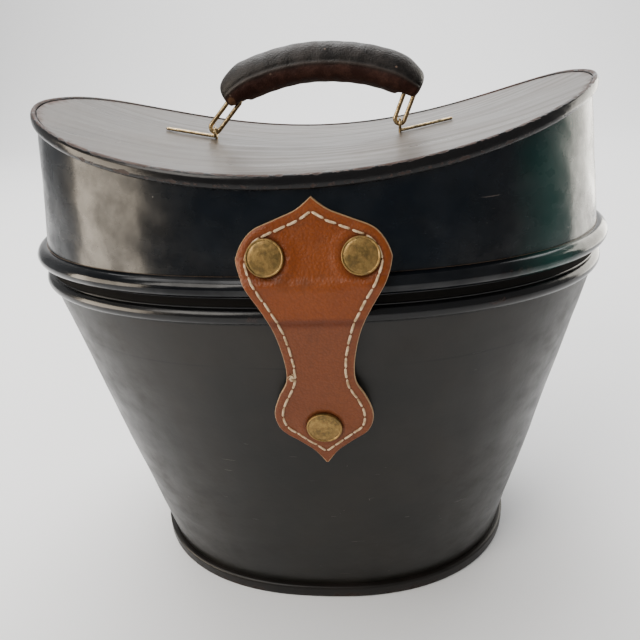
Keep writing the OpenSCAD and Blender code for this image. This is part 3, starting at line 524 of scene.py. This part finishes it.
wire_brass.shine(
    Base_Color=wire_brass.mix(
        crust, wire_brass.mix(wire_brass.between(wire_brass.noise(420, 3), 0.4, 0.65),
                              *WIRE_TONES), VERDIGRIS),
    Metallic=1 - crust * 0.95, Roughness=wire_brass.between(crust, 0, 1, 0.27, 0.85),
    Normal=wire_brass.bump(wire_brass.noise(800, 4) + crust * 0.8, 0.00025, 0.6))
coat(iron, "foot_wire", "hinge_pin", "snap_catch", "snap_catch_washer", "staple_plate_left",
     "staple_plate_right", "snap_magnet", "grip_spine")
coat(cap_brass, "hinge_rivets_base", "hinge_rivets_lid", "tab_rivet_washers", "tab_rivet_left",
     "tab_rivet_right", "snap_cap")
coat(wire_brass, "handle_staple_left", "handle_staple_right", "handle_link_left",
     "handle_link_right")

# ---- Closing tab ----
# One piece of pebbled hide, riveted to the lid through its upper half and bent over the
# lid's bead. Its edge is cut square and left pale, and a crease marks where it lifts.
LEATHER_T, CREASE_Z, FLAP_BACK_Y = 2.2, 190.3, -121.83
TAB_TOP_Z, TAB_LOW_Z = LID_EDGE_Z + 41.9, LID_EDGE_Z - 88.5
TOP_HALF, NECK_HALF, LOW_HALF, BULGE_DROP = 32, 15.2, 22.8, 59
RIVET_X, RIVET_Z, RIVET_R = (-10.5, 28.5), 218.086, 7.8
SNAP_Z, SNAP_R = 134.3, 8.2
BEND_R, BEND_SHIFT, TOP_GAP, SEAT_GAP = 6.9, 0.8, 0.1, 0.5
SEAT_HIGH_Z = RIVET_Z + RIVET_R + 1
FRONT_SLOPE = (BUCKET_TOP[1] - BUCKET_LOW[1]) / (SHOULDER_Z - FOOT_H)


def bend_point(t):
    """The leather's outer face where it is bent over the lid's bead, at an angle."""
    return (-(LID_HALF[1] + BEND_SHIFT + BEND_R * math.cos(math.radians(t))),
            LID_BEAD_Z + BEND_R * math.sin(math.radians(t)))


def flap_y(z):
    """The flap's outer face, parallel to the bucket's wall."""
    return FLAP_BACK_Y - LEATHER_T + FRONT_SLOPE * (CREASE_Z - z)


face_line = [(-(lid_half(TAB_TOP_Z)[1] + TOP_GAP + LEATHER_T), TAB_TOP_Z),
             (-(lid_half(SEAT_HIGH_Z)[1] + SEAT_GAP + LEATHER_T), SEAT_HIGH_Z)]
face_line += [bend_point(t) for t in (50, 37, 25, 12, 0)]
face_line += [(flap_y(CREASE_Z), CREASE_Z), (flap_y(TAB_LOW_Z - 1), TAB_LOW_Z - 1)]
face_y, face_z = np.array(face_line)[::-1].T


def leather_face(z):
    """Outer face of the leather at each height, in mm."""
    return np.interp(z, face_z, face_y)


half_outline = [(0.0, TAB_TOP_Z), (6.4, TAB_TOP_Z - 4.9)]
half_outline += [(TOP_HALF * part, RIVET_Z + up) for part, up in (
    (0.47, 14.6), (0.76, 10.8), (0.91, 6.1), (0.99, 0.9), (1, -1.6), (0.95, -7.9))]
half_outline += [(NECK_HALF + more, LID_EDGE_Z - under) for more, under in (
    (11.5, -3.7), (7.3, 4.2), (3.6, 12.8), (1.1, 23.3), (0, 33.0), (0.8, 40.5))]
half_outline += [(LOW_HALF - less, LID_EDGE_Z - BULGE_DROP + up) for less, up in (
    (3.1, 11.4), (0.2, 3.3), (0.1, -3.3), (3, -9.8), (10, -15.3))]
half_outline += [(5.7, TAB_LOW_Z + 8.1), (0, TAB_LOW_Z)]
outline = rounded(half_outline, 12, closed=False)
outline[:, 0] = np.maximum(outline[:, 0], 0.02)
steps = np.concatenate([[0], np.cumsum(np.linalg.norm(np.diff(outline, axis=0), axis=1))])
OUTLINE_STEP = 0.7
even = np.arange(0, steps[-1], OUTLINE_STEP)
outline = np.stack([np.interp(even, steps, outline[:, k]) for k in (0, 1)], -1)

# The line of the stitches runs inside the outline at an even distance, smoothed at the
# corners. Along it the leather is darkened with a painted shade of the stitch groove.
STITCH_INSET, STITCH_SLACK = 3.9, 0.12
loop = np.concatenate([outline, outline[::-1] * np.array([-1, 1])])
away = np.roll(loop, -3, axis=0) - np.roll(loop, 3, axis=0)
away = np.stack([away[:, 1], -away[:, 0]], -1)
away /= np.maximum(np.linalg.norm(away, axis=1, keepdims=True), 1e-9)
inset = loop + away * STITCH_INSET
keep = np.array([np.min(np.hypot(*(loop - p).T)) > STITCH_INSET - STITCH_SLACK for p in inset])
inset = inset[keep]
for _ in range(6):
    inset = 0.5 * inset + 0.25 * (np.roll(inset, 1, axis=0) + np.roll(inset, -1, axis=0))
inset = np.vstack([inset, inset[:1]])
run = np.concatenate([[0], np.cumsum(np.linalg.norm(np.diff(inset, axis=0), axis=1))])
caps = [*((x, RIVET_Z, RIVET_R) for x in RIVET_X), (TAB_X, SNAP_Z, SNAP_R)]
CAP_DIP, CREASE_DIP = 0.15, 0.4


def relief(x, z):
    """How far the leather's face stands above its plane: slightly wavy, puckered round the
    caps, pressed down under them and folded in at the crease."""
    high = 0.10 * np.sin(x / 5.3 + z / 9) * np.sin(z / 7.1) + 0.05 * np.sin(x / 2.1 - z / 3.3)
    for cx, cz, r in caps:
        d = np.hypot(x - cx, z - cz)
        pucker = (0.5 + 0.35 * (z < cz)) * np.exp(-((d - r - 2.4) / 2.2) ** 2)
        high = high + pucker - CAP_DIP * np.exp(-(d / (r + 0.3)) ** 8)
    return high - CREASE_DIP * np.exp(-((z - CREASE_Z) / 0.9) ** 2)


def end_faces(rows, columns):
    """The two faces that close a grid of points at its ends."""
    return [tuple(range(columns)), tuple((rows - 1) * columns + k for k in range(columns))]


near_edge = np.array([0, 0.006, 0.02, 0.045, 0.08])
across = np.concatenate([-1 + near_edge, np.linspace(-0.86, 0.86, 39), 1 - near_edge[::-1]])
edge_drop = np.interp(1 - np.abs(across), [0, 0.006, 0.02, 0.045, 0.1], [0.9, 0.5, 0.22, 0.07, 0])
leather_rows, leather_pale = [], []
for half, z in outline:
    x = TAB_X + across * half
    front_face = leather_face(z) - relief(x, z) * np.clip((1 - np.abs(across)) * half / 2.5, 0, 1)
    front_face = front_face + edge_drop * min(1, half / 4)
    back_face = np.full(len(across), leather_face(z) + LEATHER_T - 0.25)
    row = np.stack([np.concatenate([x, x[::-1]]), np.concatenate([front_face, back_face]),
                    np.full(2 * len(across), z)], -1)
    leather_rows.append(row)
    pale_front = np.clip(1 - (1 - np.abs(across)) * half / 0.7, 0, 1)
    leather_pale.append(np.concatenate([pale_front, np.ones(len(across))]))
leather_points = np.array(leather_rows)
leather_count = leather_points.shape[1]
leather_faces = grid_faces(len(outline), leather_count, wrap_rows=False)
leather_faces += end_faces(len(outline), leather_count)
# The lower tan is a darker, duller copy of the upper one: painted shade of the down-facing flap.
UPPER_TAN = (0.135, 0.026, 0.0030), (0.225, 0.054, 0.0065)
SHADED_LOWER_TAN = (0.120, 0.031, 0.0085), (0.180, 0.050, 0.014)
CREASE_SHADE_TAN, GRIME, PORE = (0.085, 0.018, 0.005), (0.075, 0.026, 0.011), (0.07, 0.02, 0.008)
PAINTED_SHADE_TAN, CUT_EDGE = (0.05, 0.015, 0.006), (0.42, 0.27, 0.14)
hide = Finish("tan_hide", IOR=1.45, Specular_IOR_Level=0.24)
rest_z = hide.mark("rest_z")
rest_x = hide.mark("rest_x")
rest = hide.node("ShaderNodeCombineXYZ", {}, {"X": rest_x, "Y": rest_z, "Z": 0.0})
pebble = hide.cells(900, rest)
pebble_fine = hide.noise(1400, 3, 0.6, rest)
cloud_hide = hide.noise(38, 4, 0.6, rest)
grime = hide.between(hide.noise(75, 4, 0.65, rest), 0.5, 0.75)
crease = CREASE_Z * MM
# Painted shade: a darker band of tan along the crease.
crease_shade_band = (hide.between(rest_z, crease - 0.0036, crease - 0.0006)
               - hide.between(rest_z, crease + 0.0004, crease + 0.0030))
# Painted shade: below the crease the tan is darker and duller, for the flap that faces down, away
# from the light.
lower = 1 - hide.between(rest_z, crease - 0.004, crease + 0.002)
tan = hide.mix(lower, hide.mix(cloud_hide, *UPPER_TAN), hide.mix(cloud_hide, *SHADED_LOWER_TAN))
tan = hide.mix(crease_shade_band * 0.75, tan, CREASE_SHADE_TAN)
tan = hide.mix(grime * 0.45, tan, GRIME)
tan = hide.mix(hide.between(pebble, 0.25, 0.7) * 0.22, tan, PORE)
# Painted shade round the caps and along the stitches.
tan = hide.mix(hide.mark("shade") * 0.55, tan, PAINTED_SHADE_TAN)
pale = hide.mark("pale") + (hide.noise(500, 2, 0.5, rest) - 0.5) * 0.4
tan = hide.mix(hide.between(pale, 0.35, 0.8), tan, CUT_EDGE)
hide.shine(Base_Color=tan,
           Roughness=hide.between(pebble_fine * 0.5 + cloud_hide * 0.5, 0.3, 0.7, 0.3, 0.5),
           Normal=hide.bump(pebble * -1.0 + pebble_fine * 0.5, 0.00022, 0.85))
# Painted shade: a dark ring where each cap meets the leather, and a dark line along the stitches.
leather_shade = np.zeros(leather_points.shape[:2])
for cx, cz, r in caps:
    d = np.hypot(leather_points[..., 0] - cx, leather_points[..., 2] - cz)
    leather_shade += np.exp(-((d - r) / 0.8) ** 2)
sewn = np.array([[np.min(np.hypot(inset[:, 0] + TAB_X - x, inset[:, 1] - z)) for x, _, z in row]
                 for row in leather_points])
leather_shade += 0.9 * np.exp(-(sewn / 0.85) ** 2)
tab = surface("closing_tab", leather_points.reshape(-1, 3) * MM, leather_faces, [hide], None,
              ["tab_leather_upper", "tab_leather_flap"], sharp=60,
              marks={"pale": np.array(leather_pale), "shade": np.clip(leather_shade, 0, 1),
                     "rest_x": leather_points[..., 0] * MM, "rest_z": leather_points[..., 2] * MM},
              weld=1e-7)
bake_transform(tab)

# ---- Stitching ----
# A row of waxed cream thread, 4 mm in from the edge all round the tab, sewn by hand, so
# that each stitch sags and turns a little. It ends in a frayed knot on the left.
stitch_rng = np.random.default_rng(21)
stitch_points, stitch_faces = [], []
STITCH_PITCH, THREAD_SIDES, THREAD_R, KNOT_R, FRAY_R = 5.9, 8, 0.54, 0.42, 0.16
KNOT_X, KNOT_Z = -3.6, 162.3


def thread(line, radius, points, faces):
    """Adds a round thread along a line of points in mm, with rounded ends."""
    line = np.asarray(line, float)
    count, base = len(line), len(points)
    for k, centre in enumerate(line):
        along = line[min(k + 1, count - 1)] - line[max(k - 1, 0)]
        along /= np.linalg.norm(along)
        side = np.cross(along, (0, 1, 0))
        side /= np.linalg.norm(side)
        up = np.cross(side, along)
        girth = radius * (0.45 if k in (0, count - 1) else 1.0)
        for s in range(THREAD_SIDES):
            t = 2 * math.pi * s / THREAD_SIDES
            points.append(centre + girth * (math.cos(t) * side + math.sin(t) * up))
    tube = grid_faces(count, THREAD_SIDES, wrap_rows=False) + end_faces(count, THREAD_SIDES)
    faces += [tuple(base + i for i in face) for face in tube]


def on_leather(x, z, lift):
    """A place that far in front of the leather's outer face."""
    return (x, leather_face(z) - relief(np.float64(x), np.float64(z)) - lift, z)


even_pitch = run[-1] / round(run[-1] / STITCH_PITCH)
for start in np.arange(0, run[-1] - STITCH_PITCH * 0.5, even_pitch):
    length = STITCH_PITCH * stitch_rng.uniform(0.84, 0.95)
    skew = stitch_rng.uniform(-0.35, 0.35, 2)
    line = []
    for share in np.linspace(0, 1, 9):
        s = start + share * length
        x = np.interp(s, run, inset[:, 0]) + TAB_X + skew[0] * (share - 0.5)
        z = np.interp(s, run, inset[:, 1]) + skew[1] * (share - 0.5)
        line.append(on_leather(x, z, 0.42 * math.sin(math.pi * share) ** 0.5 - 0.25))
    if all(np.hypot(line[4][0] - cx, line[4][2] - cz) > r - 0.5 for cx, cz, r in caps):
        thread(line, THREAD_R, stitch_points, stitch_faces)
for k in range(11):
    swing = stitch_rng.uniform(0, 2 * math.pi)
    reach = stitch_rng.uniform(1.0, 2.4) if k > 3 else 1.1
    line = [on_leather(KNOT_X + 0.25 * reach * math.cos(swing + 2.2 * share) * (1 + 3 * share),
                       KNOT_Z + 0.3 * reach * math.sin(swing + 2.2 * share) * (1 + 3 * share),
                       0.3 + 0.9 * math.sin(math.pi * share) * stitch_rng.uniform(0.4, 1))
            for share in np.linspace(0, 1, 7)]
    thread(line, KNOT_R if k < 5 else FRAY_R, stitch_points, stitch_faces)
CREAM, DIRTY_CREAM = (0.66, 0.50, 0.32), (0.36, 0.23, 0.12)
cream = Finish("cream_thread", Roughness=0.85, Specular_IOR_Level=0.2)
cream_dirt = cream.between(cream.noise(400, 3), 0.35, 0.7)
cream.shine(Base_Color=cream.mix(cream_dirt, CREAM, DIRTY_CREAM),
            Normal=cream.bump(cream.noise(2600, 2), 0.0002, 0.8))
stitches = surface("tab_stitches", np.array(stitch_points) * MM, stitch_faces, [cream], None,
                   sharp=70)
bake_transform(stitches)

# ---- Caps ----
# Pressed brass faces on the two rivets and the snap: a nearly flat disc inside a thin
# rolled rim, tarnished olive and brown.
CAP_LIFT, CAP_SIDES, SEAT_Y, SEAT_LEAN = 1.55, 72, -120.438, 17.78
CAP_LINE = [(0.0, 0.62), (0.4, 0.58), (0.72, 0.42), (0.86, 0.22), (0.895, 0.12), (0.93, 0.38),
            (0.965, 0.48), (1.0, 0.34), (1.018, -0.05), (1.01, -0.9)]


def cap_face(name, centre, lean, radius, body):
    """A thin pressed face over a cap, square to a plane that leans back by that angle."""
    shape = [(radius * share, CAP_LIFT + rise) for share, rise in CAP_LINE]
    line = rounded(shape, 4, closed=False)
    out = Vector((0, -math.cos(math.radians(lean)), math.sin(math.radians(lean))))
    right = Vector((1, 0, 0))
    up = right.cross(-out)
    points = []
    for t in np.arange(CAP_SIDES) * 2 * math.pi / CAP_SIDES:
        for r, h in line:
            points.append(Vector(centre) + right * r * math.cos(t) + up * r * math.sin(t) + out * h)
    faces = grid_faces(CAP_SIDES, len(line), wrap_columns=False)
    return surface(name, np.array(points) * MM, faces, [cap_brass], body,
                   sharp=50)


flap_lean = -math.degrees(math.atan(FRONT_SLOPE))
for side, x in zip(("left", "right"), RIVET_X):
    cap_face(f"rivet_face_{side}", (x, SEAT_Y, RIVET_Z), SEAT_LEAN, RIVET_R, "lid")
cap_face("snap_face", (TAB_X, flap_y(SNAP_Z), SNAP_Z), flap_lean, SNAP_R, "tab")

# ---- Grip ----
# Hide sewn round a stuffed core and an iron spine, black-brown above and red-brown below,
# with one raised seam along its side, worn pale where the left end meets the link.
GRIP_X, GRIP_R, GRIP_HALF, ARCH_R, ARCH_Z = 5.5, 10.2, 57.0, 116.0, 175.407
GRIP_ROWS, GRIP_SIDES = 190, 96
SEAM_AT, WORN_AT, UNDERSIDE = math.radians(182), math.radians(215), 1.5 * math.pi
LINK_HOLLOWS, HOLLOW_DEPTH, HOLLOW_HALF = ((-43.5, -0.5), (54.5, 1.8)), 4.6, 4.6
half_turn = math.asin((GRIP_HALF - GRIP_R) / ARCH_R) + GRIP_R / ARCH_R
round_grip = np.arange(GRIP_SIDES) * 2 * math.pi / GRIP_SIDES


def turn_from(angle):
    """How far each place round the grip is from an angle, between -pi and pi."""
    return (round_grip - angle + math.pi) % (2 * math.pi) - math.pi


seam_off = turn_from(SEAM_AT)
under = np.exp(-(turn_from(UNDERSIDE) / 0.42) ** 4)
grip_shares = np.sin(np.linspace(-math.pi / 2, math.pi / 2, GRIP_ROWS))
grip_points, grip_side = [], []
for share in grip_shares:
    t = share * half_turn
    taper = 1 - 0.36 * max(0, (abs(share) - 0.7) / 0.3) ** 1.7
    girth = taper * max(1 - abs(share) ** 60, 0) ** 0.5
    flat = np.array([math.sin(t), 0, math.cos(t)])
    centre = np.array([GRIP_X, 0, ARCH_Z]) + (ARCH_R - (1 - taper) * 6.5) * flat
    radius = girth * (GRIP_R + 0.55 * np.exp(-(seam_off / 0.055) ** 2)
                      - 0.3 * np.exp(-((seam_off + 0.15) / 0.07) ** 2))
    radius = radius + girth * 0.16 * np.sin(3 * round_grip + share * 14) * np.sin(share * 23)
    for top, shift in LINK_HOLLOWS:
        near = centre[0] - top - shift
        radius = radius - HOLLOW_DEPTH * girth * under * math.exp(-(near / HOLLOW_HALF) ** 4)
    ring = centre + radius[:, None] * (np.cos(round_grip)[:, None] * np.array([0, 1, 0])
                                       + np.sin(round_grip)[:, None] * flat)
    grip_points.append(ring)
    grip_side.append(np.sin(round_grip))
grip_points = np.array(grip_points)
GRIP_UPPER = (0.008, 0.0068, 0.0064), (0.030, 0.025, 0.023)
GRIP_BELOW = (0.032, 0.011, 0.008), (0.075, 0.030, 0.021)
SEAM_GREY, SCUFFED, BARE_HIDE = (0.075, 0.060, 0.052), (0.30, 0.20, 0.15), (0.17, 0.085, 0.042)
grip_hide = Finish("grip_hide", IOR=1.45, Specular_IOR_Level=0.26)
pores = grip_hide.cells(1100)
scuff = grip_hide.noise(120, 5, 0.7)
wide = grip_hide.noise(34, 3, 0.6)
split = grip_hide.between(grip_hide.mark("height") + (wide - 0.5) * 0.25, -0.3, 0.05)
upper = grip_hide.mix(grip_hide.between(scuff, 0.38, 0.68), *GRIP_UPPER)
below = grip_hide.mix(grip_hide.between(scuff, 0.4, 0.7), *GRIP_BELOW)
grip_tone = grip_hide.mix(split, below, upper)
grip_tone = grip_hide.mix(grip_hide.mark("seam") * 0.55, grip_tone, SEAM_GREY)
light = grip_hide.between(grip_hide.cells(150) + scuff * 0.12, 0.19, 0.12) * (wide > 0.52)
grip_tone = grip_hide.mix(light * 0.5, grip_tone, SCUFFED)
tan_spot = grip_hide.between(grip_hide.mark("worn") + (scuff - 0.5) * 0.9, 0.45, 0.75)
grip_tone = grip_hide.mix(tan_spot, grip_tone, BARE_HIDE)
grip_hide.shine(Base_Color=grip_tone,
                Roughness=grip_hide.between(scuff, 0.3, 0.7, 0.36, 0.62),
                Normal=grip_hide.bump(pores * -0.6 + scuff * 1.0 + grip_hide.noise(700, 3) * 0.5,
                                      0.0004, 0.7))
seam_mark = np.tile(np.exp(-(seam_off / 0.06) ** 2), GRIP_ROWS)
front_mark = np.exp(-(turn_from(WORN_AT) / 0.5) ** 2)
worn_mark = np.exp(-((grip_shares[:, None] + 0.93) / 0.05) ** 2) * front_mark
grip_faces = grid_faces(GRIP_ROWS, GRIP_SIDES, wrap_rows=False)
grip = surface("grip", grip_points.reshape(-1, 3) * MM, grip_faces, [grip_hide], "handle",
               ["grip_cover", "grip_core"], sharp=75, weld=1e-5,
               marks={"height": np.array(grip_side), "seam": seam_mark, "worn": worn_mark})

# ---- Floor, light and camera ----
# A pale floor that curves up into a backdrop, with large soft lamps over and beside it.
FLOOR_FRONT, FLOOR_BACK, CURVE_R, PAPER_TOP, PAPER_HALF = -4.0, 2.2, 1.2, 4.5, 5.0
FLOOR_GAP = 0.0002
sweep = [(y, 0.0) for y in np.linspace(FLOOR_FRONT, FLOOR_BACK, 12)]
sweep += [(FLOOR_BACK + CURVE_R * math.sin(t), CURVE_R - CURVE_R * math.cos(t))
          for t in np.linspace(0.1, math.pi / 2, 16)]
sweep += [(FLOOR_BACK + CURVE_R, PAPER_TOP)]
backdrop_points = [(x, y, z - FLOOR_GAP) for y, z in sweep for x in (-PAPER_HALF, PAPER_HALF)]
paper = Finish("pale_paper", Base_Color=(0.92, 0.92, 0.92), Roughness=0.9, Specular_IOR_Level=0.1)
backdrop = surface("backdrop", np.array(backdrop_points),
                   [(2 * k, 2 * k + 1, 2 * k + 3, 2 * k + 2) for k in range(len(sweep) - 1)],
                   [paper], None)


def lamp(name, at, towards, size, radiance, colour, soft=False):
    """A rectangular lamp that points at a place. Only a soft one lights dull surfaces."""
    light = bpy.data.lights.new(name, "AREA")
    light.shape, light.size, light.size_y = "RECTANGLE", *size
    light.energy, light.color = radiance * math.pi * size[0] * size[1], colour
    made = bpy.data.objects.new(name, light)
    made.location = at
    made.rotation_euler = (Vector(towards) - Vector(at)).to_track_quat("-Z", "Y").to_euler()
    made.visible_diffuse = soft
    bpy.context.scene.collection.objects.link(made)


lamp("lamp_over", at=(-0.4, 0.3, 1.7), towards=(-0.1, 0.1, 0.1), size=(2.0, 1.2),
     radiance=4.4, colour=(1.0, 0.98, 0.96), soft=True)
lamp("lamp_back", at=(0, 1.9, 2.3), towards=(0, 1.9, 0), size=(4.0, 2.0),
     radiance=4.5, colour=(1.0, 1.0, 1.0), soft=True)
lamp("lamp_key", at=(-0.9, -1.0, 1.3), towards=(0, 0, 0.18), size=(0.8, 0.8),
     radiance=9, colour=(1.0, 0.95, 0.88), soft=True)
lamp("lamp_left", at=(-1.05, -0.42, 0.32), towards=(-0.1, 0, 0.23), size=(0.7, 0.55),
     radiance=12, colour=(1.0, 0.86, 0.68))
lamp("lamp_right", at=(1.0, 0.6, 0.4), towards=(0.12, 0, 0.2), size=(0.9, 0.9),
     radiance=7, colour=(1.0, 0.95, 0.84))

world = bpy.data.worlds.new("studio")
bpy.context.scene.world = world
world.use_nodes = True
sky = world.node_tree.nodes["Background"].inputs
sky["Color"].default_value, sky["Strength"].default_value = (1.0, 1.0, 1.0, 1), 0.4

YAW, PITCH, ROLL = -0.0952, 0.4106, 0.0562
SENSOR, SIDE, FOCUS, SHIFT = 36, 640, 563.55, (-9.16, -2.09)
ahead = Vector((math.sin(YAW) * math.cos(PITCH), math.cos(YAW) * math.cos(PITCH),
                -math.sin(PITCH)))
level = Vector((math.cos(YAW), -math.sin(YAW), 0))
down = ahead.cross(level)
right = math.cos(ROLL) * level + math.sin(ROLL) * down
down = -math.sin(ROLL) * level + math.cos(ROLL) * down
camera_data = bpy.data.cameras.new("camera")
camera_data.sensor_width, camera_data.lens = SENSOR, FOCUS * SENSOR / SIDE
camera_data.shift_x, camera_data.shift_y = SHIFT[0] / SIDE, SHIFT[1] / SIDE
camera_data.clip_start = 0.01
camera = bpy.data.objects.new("camera", camera_data)
camera.matrix_world = Matrix((right, -down, -ahead)).transposed().to_4x4()
camera.location = (0.035004, -0.337056, 0.285902)
bpy.context.scene.collection.objects.link(camera)
bpy.context.scene.camera = camera
